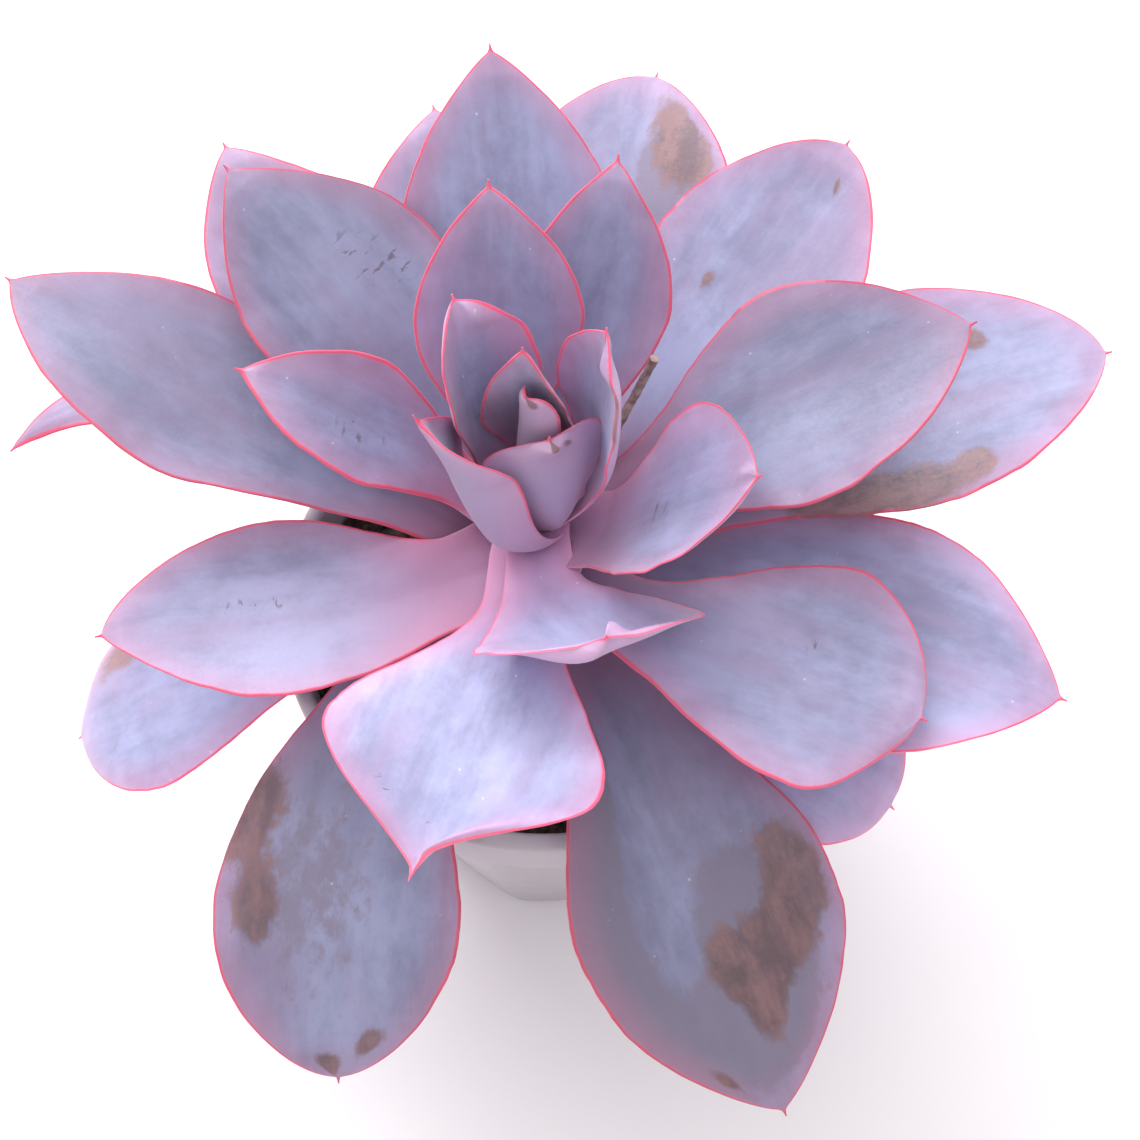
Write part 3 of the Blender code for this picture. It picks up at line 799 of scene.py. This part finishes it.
    def relief(self, across: float, along: float, half: float) -> float:
        """Height of the blade's lips, waves and dents along its upper axis.

        Args:
            across: -1 to 1 from margin to margin.
            along: 0 to 1 from base to tip.
            half: Half the width there, in metres.

        Returns:
            The height, in metres.
        """
        leaf = self.leaf
        reach = abs(across)
        side = 1.0 if across > 0 else -1.0
        outer = max(0.0, (reach - self.LIP_START) / (1.0 - self.LIP_START))
        lip = leaf.lip * outer ** 2 * smooth(along * 3.0)
        swing = noise.noise(Vector((along * 4.2 + 7.0 * self.number, side * 3.1, 0.0)))
        ripple = noise.noise(Vector((along * 13.0 + 5.0 * self.number, side * 5.3, 4.0)))
        wave = leaf.wave * reach ** 3 * (1.6 * swing + 0.5 * ripple) * smooth(along * 2.5)
        broad = noise.noise(Vector((across * half / MM / 16.0, along * self.length / MM / 18.0,
                                    self.number * 3.7)))
        groove = -0.35 * math.exp(-(across / 0.22) ** 2) * (1.0 - along)
        height = lip + wave + 0.45 * broad + groove
        height += sum(dent.at(along, across) for dent in leaf.dents)
        return height * MM * min(1.0, half / (3.0 * MM))

    def corner(self, across: float, along: float, face: float) -> Vector:
        """Point of the surface.

        Args:
            across: -1 to 1 from margin to margin.
            along: 0 to 1 from base to tip.
            face: 1 on the upper face and -1 on the lower.

        Returns:
            The point, in metres.
        """
        centre, side, upper, half, thickness = self.row(along)
        nibble = noise.noise(Vector((along * 9.0, 2.0 if across > 0 else -2.0, self.number * 1.9)))
        bite = noise.noise(Vector((along * 38.0, 6.0 if across > 0 else -6.0, self.number * 2.7)))
        half *= 1.0 + (0.026 * nibble + 0.008 * bite) * abs(across) ** 3
        bend = math.radians(self.leaf.cup)
        radius = half / bend
        angle = bend * across
        lean = 1.0 + self.leaf.lean * across * smooth(along * 2.0)
        sideways = radius * math.sin(angle) * lean
        middle = centre + side * sideways + upper * radius * (1.0 - math.cos(angle))
        sunk = max(0.0, 1.0 - along * self.length / self.SEAT)
        middle -= heading(self.base_azimuth) * self.leaf.sink * MM * sunk
        normal = upper * math.cos(angle) - side * math.sin(angle)
        middle += normal * self.relief(across, along, half)
        lifted = smooth((along - self.CURL_START) / (1.0 - self.CURL_START))
        middle.z += self.leaf.curl * MM * lifted ** 2
        local = thickness * (1.0 - self.THIN * abs(across) ** self.SHARP)
        return middle + normal * face * local / 2.0


@dataclass
class Rosette:
    """All the leaves."""

    crown: Crown
    skin: LeafSkin
    rows: int = 84
    columns: int = 34
    crowding: float = 1.35
    margin_crowding: float = 0.55
    leaves: tuple[Leaf, ...] = field(default_factory=tuple)

    def build(self) -> None:
        """Build and dress every leaf."""
        material = self.skin.make()
        for number, leaf in enumerate(self.leaves, start=1):
            self.build_leaf(number, leaf, material)

    def build_leaf(self, number: int, leaf: Leaf, material: bpy.types.Material) -> None:
        """Thicken a grid into a slab and move its corners onto the blade.

        Args:
            number: The leaf's number, counted down the spiral.
            leaf: Its sizes.
            material: Its finish.
        """
        bm = bmesh.new()
        bmesh.ops.create_grid(bm, x_segments=self.columns, y_segments=self.rows, size=1.0)
        bmesh.ops.translate(bm, vec=(0.0, 0.0, -1.0), verts=bm.verts)
        slab = bmesh.ops.extrude_face_region(bm, geom=list(bm.faces), use_keep_orig=True)
        raised = [item for item in slab["geom"] if isinstance(item, bmesh.types.BMVert)]
        bmesh.ops.translate(bm, vec=(0.0, 0.0, 2.0), verts=raised)
        bmesh.ops.recalc_face_normals(bm, faces=bm.faces)
        bmesh.ops.reverse_faces(bm, faces=bm.faces)
        blade = Blade(leaf, self.crown, number)
        layers = {mark: bm.verts.layers.float.new(mark.value) for mark in Mark}
        surface = bm.loops.layers.uv.new("blade")
        flat: dict[int, tuple[float, float]] = {}
        bm.verts.index_update()
        for vert in bm.verts:
            even = vert.co.x
            across = even + self.margin_crowding * even * (1.0 - even * even) / 2.0
            along = 1.0 - (0.5 - vert.co.y / 2.0) ** self.crowding
            face = vert.co.z
            half = blade.row(along)[3]
            vert[layers[Mark.FOOT]] = along * blade.length / MM
            tip = (1.0 - along) * blade.length
            vert[layers[Mark.EDGE]] = min((1.0 - abs(across)) * half, tip * 0.6 + 0.0006) / MM
            for mark, patches in ((Mark.SCUFF, leaf.scuffs), (Mark.SCRATCH, leaf.scratches),
                                  (Mark.BARE, leaf.bares)):
                vert[layers[mark]] = sum(patch.at(along, across) for patch in patches)
            vert[layers[Mark.BLUSH]] = leaf.blush
            vert[layers[Mark.TONE]] = leaf.tone.value
            vert[layers[Mark.UNDER]] = 0.5 - face / 2.0
            flat[vert.index] = (across * half + 0.1 * number, along * blade.length)
            vert.co = blade.corner(across, along, face)
        for bm_face in bm.faces:
            for loop in bm_face.loops:
                loop[surface].uv = flat[loop.vert.index]
        finish_piece(f"leaf_{number:02d}_blade", bm, material, f"leaf_{number:02d}", 80.0)


@dataclass
class Pot:
    """Thin-walled moulded pot: a round rim and collar on an eight-sided, tapered body."""

    height: float = RIM_HEIGHT
    rim_radius: float = 44.5 * MM
    rim_width: float = 3 * MM
    rim_edge: float = 0.8 * MM
    collar_height: float = 11 * MM
    collar_draft: float = 0.6 * MM
    collar_step: float = 2 * MM
    base_apothem: float = 31 * MM
    base_edge: float = 1.2 * MM
    wall: float = 1.6 * MM
    floor: float = 2.2 * MM
    sides: int = 8
    corner_share: float = 1.05
    corner_softness: float = 0.03
    segments: int = 192
    drain_holes: int = 4
    drain_radius: float = 3.5 * MM
    drain_circle: float = 17 * MM

    @property
    def collar_bottom(self) -> float:
        """Height of the collar's lower edge."""
        return self.height - self.collar_height

    @property
    def body_top(self) -> float:
        """Height at which the faceted body ends under the collar."""
        return self.collar_bottom - self.collar_step

    @property
    def body_apothem(self) -> float:
        """Distance from the axis to the middle of a side, at the body's top."""
        return (self.rim_radius - self.collar_draft - self.collar_step) / self.corner_share

    @property
    def mouth_radius(self) -> float:
        """Inner radius of the rim."""
        return self.rim_radius - self.rim_width

    def facet_radius(self, angle: float, apothem: float) -> float:
        """Radius of the soft-cornered, eight-sided outline at an angle.

        Args:
            angle: The angle about the axis, in radians.
            apothem: Distance from the axis to the middle of a side.

        Returns:
            The radius.
        """
        side = 2.0 * math.pi / self.sides
        from_middle = (angle + math.pi / 2.0 + side / 2.0) % side - side / 2.0
        sharp = 1.0 / math.cos(from_middle)
        over = (sharp - self.corner_share) / self.corner_softness
        eased = self.corner_share - self.corner_softness * math.log1p(math.exp(-over))
        return apothem * min(eased, self.corner_share)

    def place_ring(self, verts: list[bmesh.types.BMVert], size: float, height: float,
                   faceted: bool) -> None:
        """Move a ring of corners to a circle, or to the body's outline if faceted.

        Args:
            verts: The corners.
            size: Radius, or distance to the middle of a side.
            height: Height of the ring.
            faceted: Whether it follows the body's outline.
        """
        for vert in verts:
            angle = math.atan2(vert.co.y, vert.co.x)
            radius = self.facet_radius(angle, size) if faceted else size
            vert.co = Vector((radius * math.cos(angle), radius * math.sin(angle), height))

    def loft(self, profile: list[tuple[float, float, bool]]) -> bmesh.types.BMesh:
        """Skin a list of (size, height, faceted) rings and fill the first and the last.

        Args:
            profile: The rings in order.

        Returns:
            The closed mesh.
        """
        bm = bmesh.new()
        made = bmesh.ops.create_circle(bm, segments=self.segments, radius=self.rim_radius)
        edges = list(bm.edges)
        self.place_ring(made["verts"], *profile[0])
        bmesh.ops.edgeloop_fill(bm, edges=edges)
        for ring in profile[1:]:
            corners, edges = grow_ring(bm, edges)
            self.place_ring(corners, *ring)
        bmesh.ops.edgeloop_fill(bm, edges=edges)
        bmesh.ops.recalc_face_normals(bm, faces=bm.faces)
        return bm

    def cavity(self, inset: float) -> list[tuple[float, float, bool]]:
        """Rings of the inside below the mouth, bottom up, drawn in by an inset.

        Args:
            inset: How far they are drawn in.

        Returns:
            The rings, each a size, a height and whether it is faceted.
        """
        return [
            (self.base_apothem - self.wall - inset, self.floor + inset, True),
            (self.body_apothem - self.wall - inset, self.body_top, True),
            (self.mouth_radius - self.collar_draft - inset, self.collar_bottom, False),
        ]

    def rounded(self, rings: list[tuple[float, float, bool]],
                softness: float) -> list[tuple[float, float, bool]]:
        """Replace each inner ring of a profile by three that round its corner.

        Args:
            rings: The profile.
            softness: How far each rounding reaches.

        Returns:
            The softened profile.
        """
        soft = [rings[0]]
        for before, here, after in zip(rings, rings[1:], rings[2:]):
            spot = Vector(here[:2])
            back = Vector(before[:2]) - spot
            on = Vector(after[:2]) - spot
            back *= min(0.45, softness / max(back.length, 1e-6))
            on *= min(0.45, softness / max(on.length, 1e-6))
            middle = spot + (back + on) * 0.25
            for point in (spot + back, middle, spot + on):
                soft.append((point.x, point.y, here[2]))
        soft.append(rings[-1])
        return soft

    def build(self, material: bpy.types.Material) -> None:
        """Build and dress the pot.

        Args:
            material: Its finish.
        """
        outside = [
            (self.base_apothem - self.base_edge, 0.0, True),
            (self.base_apothem, self.base_edge, True),
            (self.body_apothem, self.body_top, True),
            (self.rim_radius - self.collar_draft, self.collar_bottom, False),
            (self.rim_radius, self.height - self.rim_edge, False),
            (self.rim_radius - self.rim_edge, self.height, False),
            (self.mouth_radius + self.rim_edge, self.height, False),
            (self.mouth_radius, self.height - self.rim_edge, False),
        ]
        bm = self.loft(self.rounded(outside + list(reversed(self.cavity(0.0))), 0.5 * MM))
        piece = finish_piece("pot_shell", bm, material, "pot", 35.0)
        cutter = self.drain_cutter()
        cut = piece.modifiers.new("drain_holes", "BOOLEAN")
        cut.solver = "EXACT"
        cut.object = cutter
        bpy.context.view_layer.objects.active = piece
        with bpy.context.temp_override(object=piece, active_object=piece):
            bpy.ops.object.modifier_apply(modifier=cut.name)
        bpy.data.objects.remove(cutter, do_unlink=True)

    def drain_cutter(self) -> bpy.types.Object:
        """Rods that cut the drain holes through the floor.

        Returns:
            The rods as one object.
        """
        bm = bmesh.new()
        for index in range(self.drain_holes):
            place = heading(360.0 * (index + 0.5) / self.drain_holes) * self.drain_circle
            bmesh.ops.create_cone(bm, cap_ends=True, segments=32, radius1=self.drain_radius,
                                  radius2=self.drain_radius, depth=4.0 * self.floor,
                                  matrix=Matrix.Translation(place))
        return add_mesh("drain_cutter", bm)


@dataclass
class Soil:
    """Potting mix: a rough surface with bark, crumbs and perlite on it."""

    pot: Pot
    below_rim: float = 8 * MM
    gap: float = 0.7 * MM
    mound: float = 1.5 * MM
    mound_share: float = 0.45
    socket: float = 5.75 * MM
    root: float = 12 * MM
    roughness: float = 0.9 * MM
    crumbs: int = 900
    chips: int = 90
    grains: int = 70
    seed: int = 11
    rows: int = 26
    stem_clearance: float = 1.2 * MM
    wall_clearance: float = 2.6 * MM

    @property
    def top(self) -> float:
        """Height of the soil at the pot's wall."""
        return self.pot.height - self.below_rim

    def surface(self, radius: float) -> float:
        """Height of the even surface at a distance from the axis.

        Args:
            radius: The distance.

        Returns:
            The height.
        """
        edge = self.pot.mouth_radius
        share = smooth((edge - radius) / (edge * (1.0 - self.mound_share)))
        return self.top + self.mound * share

    def build(self, mix: bpy.types.Material, bark: bpy.types.Material,
              perlite: bpy.types.Material) -> None:
        """Build and dress the body of the soil and what lies on it.

        Args:
            mix: Finish of the soil and its crumbs.
            bark: Finish of the bark chips.
            perlite: Finish of the white grains.
        """
        pot = self.pot
        edge = pot.mouth_radius - pot.collar_draft * self.below_rim / pot.collar_height
        edge -= self.gap
        rings = pot.cavity(self.gap)
        for row in range(self.rows + 1):
            radius = edge + (self.socket - edge) * row / self.rows
            rings.append((radius, self.surface(radius), False))
        rings.append((self.socket, self.top - self.root, False))
        bm = pot.loft(rings)
        for vert in bm.verts:
            radius = math.hypot(vert.co.x, vert.co.y)
            if vert.co.z > self.top - 0.5 * MM and radius < edge - 0.2 * MM:
                rise = noise.fractal(vert.co * 260.0, 0.7, 2.1, 4)
                vert.co.z += self.roughness * rise * smooth((edge - radius) / (3 * MM))
        finish_piece("soil_bed", bm, mix, "soil", 80.0)
        draw = random.Random(self.seed)
        self.scatter("soil_crumbs", mix, self.crumbs, (0.5, 1.5), (1.0, 0.9, 0.7), 1, draw)
        self.scatter("bark_chips", bark, self.chips, (1.2, 2.8), (1.0, 0.55, 0.3), 1, draw)
        self.scatter("perlite_grains", perlite, self.grains, (0.5, 1.1), (1.0, 0.9, 0.8), 2, draw)

    def scatter(self, name: str, material: bpy.types.Material, count: int,
                sizes: tuple[float, float], shape: Colour, detail: int, draw: random.Random) -> None:
        """Strew rough pieces over the surface as one mesh.

        Args:
            name: The piece's name.
            material: Its finish.
            count: How many pieces.
            sizes: Smallest and largest radius, in millimetres.
            shape: Share of the radius along each axis.
            detail: Subdivisions of each piece.
            draw: Source of the random draws.
        """
        bm = bmesh.new()
        inner = self.socket + self.stem_clearance
        outer = self.pot.mouth_radius - self.wall_clearance
        for index in range(count):
            size = draw.uniform(*sizes) * MM
            angle = draw.uniform(0.0, 2.0 * math.pi)
            radius = math.sqrt(draw.uniform(inner ** 2, (outer - size) ** 2))
            place = heading(math.degrees(angle)) * radius
            place.z = self.surface(radius) + size * draw.uniform(-0.1, 0.35) * shape[2]
            turn = Matrix.Rotation(draw.uniform(0.0, 6.3), 4, "Z")
            turn @= Matrix.Rotation(draw.uniform(-0.5, 0.5), 4, "X")
            scale = Matrix.Diagonal((shape[0], shape[1], shape[2], 1.0))
            made = bmesh.ops.create_icosphere(bm, subdivisions=detail, radius=size,
                                              matrix=Matrix.Translation(place) @ turn @ scale)
            for vert in made["verts"]:
                rough = noise.noise(vert.co * 900.0 + Vector((index,) * 3))
                vert.co += (vert.co - place) * (0.35 * rough)
        finish_piece(name, bm, material, "", 30.0)


@dataclass
class Stem:
    """Short woody stem, narrowing up through the crown."""

    crown: Crown
    foot: float = 50 * MM
    tip_rank: float = 2.3
    segments: int = 72
    rows: int = 60
    scar_wave: float = 2.1                 # radians for each millimetre of height
    scar_depth: float = 0.22               # in millimetres, as is the next
    bark_depth: float = 0.2

    def build(self, material: bpy.types.Material) -> None:
        """Spin the outline and roughen it with rings of old leaf seats.

        Args:
            material: Its finish.
        """
        tip_radius = self.crown.radius(self.tip_rank) - self.crown.stem_seat
        knee, top = self.crown.height(self.crown.ranks), self.crown.height(self.tip_rank)
        profile = [Vector((0.0, 0.0, self.foot))]
        for row in range(self.rows + 1):
            height = self.foot + (top - self.foot) * row / self.rows
            share = max(0.0, (height - knee) / (top - knee))
            radius = self.crown.stem_radius + (tip_radius - self.crown.stem_radius) * share
            profile.append(Vector((radius, 0.0, height)))
        profile.append(Vector((0.0, 0.0, top)))
        bm = bmesh.new()
        verts = [bm.verts.new(point) for point in profile]
        edges = [bm.edges.new(pair) for pair in zip(verts, verts[1:])]
        bmesh.ops.spin(bm, geom=verts + edges, cent=(0.0, 0.0, 0.0), axis=(0.0, 0.0, 1.0),
                       angle=2.0 * math.pi, steps=self.segments, use_merge=True)
        bmesh.ops.remove_doubles(bm, verts=bm.verts, dist=0.01 * MM)
        bmesh.ops.recalc_face_normals(bm, faces=bm.faces)
        for vert in bm.verts:
            out = Vector((vert.co.x, vert.co.y, 0.0))
            if out.length > 0.3 * MM:
                ring = math.sin(vert.co.z / MM * self.scar_wave) * 0.5 + 0.5
                rough = noise.noise(vert.co * 420.0)
                depth = self.scar_depth * ring + self.bark_depth * abs(rough)
                vert.co -= out.normalized() * MM * depth
        finish_piece("stem_bark", bm, material, "stem", 80.0)


@dataclass
class Stalk:
    """Dried stub of an old flower stalk."""

    radius: float = 0.8 * MM
    route: tuple[Colour, ...] = ((5.0, 3.9, 20), (14.9, 13.4, 30), (19.4, 14.5, 42))
    SIDES: ClassVar[int] = 20
    WRINKLES: ClassVar[float] = 1400.0     # per metre
    SHRUNK: ClassVar[float] = 0.3          # share of the radius lost in the deepest wrinkle

    def build(self, material: bpy.types.Material) -> None:
        """Sweep a wrinkled rod along the route.

        Args:
            material: Its finish.
        """
        points = [Vector(place) * MM + UP * RIM_HEIGHT for place in self.route]
        path = interpolate_bezier(points[0], points[0].lerp(points[1], 0.8),
                                  points[2].lerp(points[1], 0.8), points[2], 48)
        poses = []
        for index, point in enumerate(path):
            direction = path[min(index + 1, len(path) - 1)] - path[max(index - 1, 0)]
            turn = direction.to_track_quat("Z", "Y").to_matrix().to_4x4()
            poses.append(Matrix.Translation(point) @ turn)
        bm = bmesh.new()
        bmesh.ops.create_circle(bm, segments=self.SIDES, radius=self.radius, matrix=poses[0])
        edges = list(bm.edges)
        bmesh.ops.edgeloop_fill(bm, edges=edges)
        for here, there in zip(poses, poses[1:]):
            corners, edges = grow_ring(bm, edges)
            bmesh.ops.transform(bm, matrix=there @ here.inverted(), verts=corners)
        bmesh.ops.edgeloop_fill(bm, edges=edges)
        bmesh.ops.recalc_face_normals(bm, faces=bm.faces)
        bm.normal_update()
        for vert in bm.verts:
            wrinkle = 0.5 + 0.5 * noise.noise(vert.co * self.WRINKLES)
            vert.co -= vert.normal * self.radius * self.SHRUNK * wrinkle
        finish_piece("flower_stalk_rod", bm, material, "flower_stalk", 70.0)


@dataclass
class Studio:
    """Camera, pale floor and soft light."""

    elevation: float = 62.0
    roll: float = -6.0
    eye: Vector = field(default_factory=lambda: Vector((3.8, -132.2, 324.8)) * MM)
    lens: float = 55.26
    sensor: float = 36.0
    floor_size: float = 6.0
    sky: float = 0.86
    aim_height: float = 0.09

    def build(self, paper: bpy.types.Material) -> None:
        """Place the camera, the floor and the lamps.

        Args:
            paper: The floor's finish.
        """
        scene = bpy.context.scene
        camera = bpy.data.cameras.new("camera")
        camera.lens = self.lens
        camera.sensor_width = self.sensor
        camera.clip_start = 0.01
        placed = add_object("camera", camera)
        tilt = Matrix.Rotation(math.radians(90.0 - self.elevation), 4, "X")
        spin = Matrix.Rotation(math.radians(self.roll), 4, "Z")
        placed.matrix_world = Matrix.Translation(self.eye) @ tilt @ spin
        scene.camera = placed
        world = bpy.data.worlds.new("studio_sky")
        world.use_nodes = True
        backdrop = world.node_tree.nodes["Background"]
        backdrop.inputs["Color"].default_value = (1.0, 0.985, 0.995, 1.0)
        backdrop.inputs["Strength"].default_value = self.sky
        scene.world = world
        scene.view_settings.view_transform = "Standard"
        bm = bmesh.new()
        bmesh.ops.create_grid(bm, x_segments=2, y_segments=2, size=self.floor_size / 2.0)
        floor = add_mesh("studio_floor", bm)
        floor.data.materials.append(paper)
        self.lamp("window", Vector((-0.2, 0.62, 0.72)), size=0.7, power=9.5,
                  colour=(1.0, 0.985, 1.0))
        self.lamp("overhead", Vector((0.0, -0.1, 0.95)), size=0.9, power=2.5,
                  colour=(1.0, 0.97, 0.985))

    def lamp(self, name: str, place: Vector, size: float, power: float, colour: Colour) -> None:
        """Add a square soft lamp aimed at the plant.

        Args:
            name: The lamp's name.
            place: Where it hangs.
            size: Its side.
            power: Its power in watts.
            colour: Its colour.
        """
        light = bpy.data.lights.new(name, "AREA")
        light.shape = "SQUARE"
        light.size = size
        light.energy = power
        light.color = colour
        lamp = add_object(name, light)
        lamp.location = place
        lamp.rotation_euler = (UP * self.aim_height - place).to_track_quat("-Z", "Y").to_euler()


def main() -> None:
    """Build the plant, its pot and the studio."""
    logging.basicConfig(level=logging.INFO)
    crown = Crown()
    pot = Pot()
    pot.build(POT_PLASTIC.make())
    Soil(pot).build(MIX.make(), BARK.make(), PERLITE.make())
    Stem(crown).build(STEM_BARK.make())
    Stalk().build(STRAW.make())
    Rosette(crown, LeafSkin(), leaves=LEAVES).build()
    Studio().build(PAPER.make())


if __name__ == "__main__":
    main()
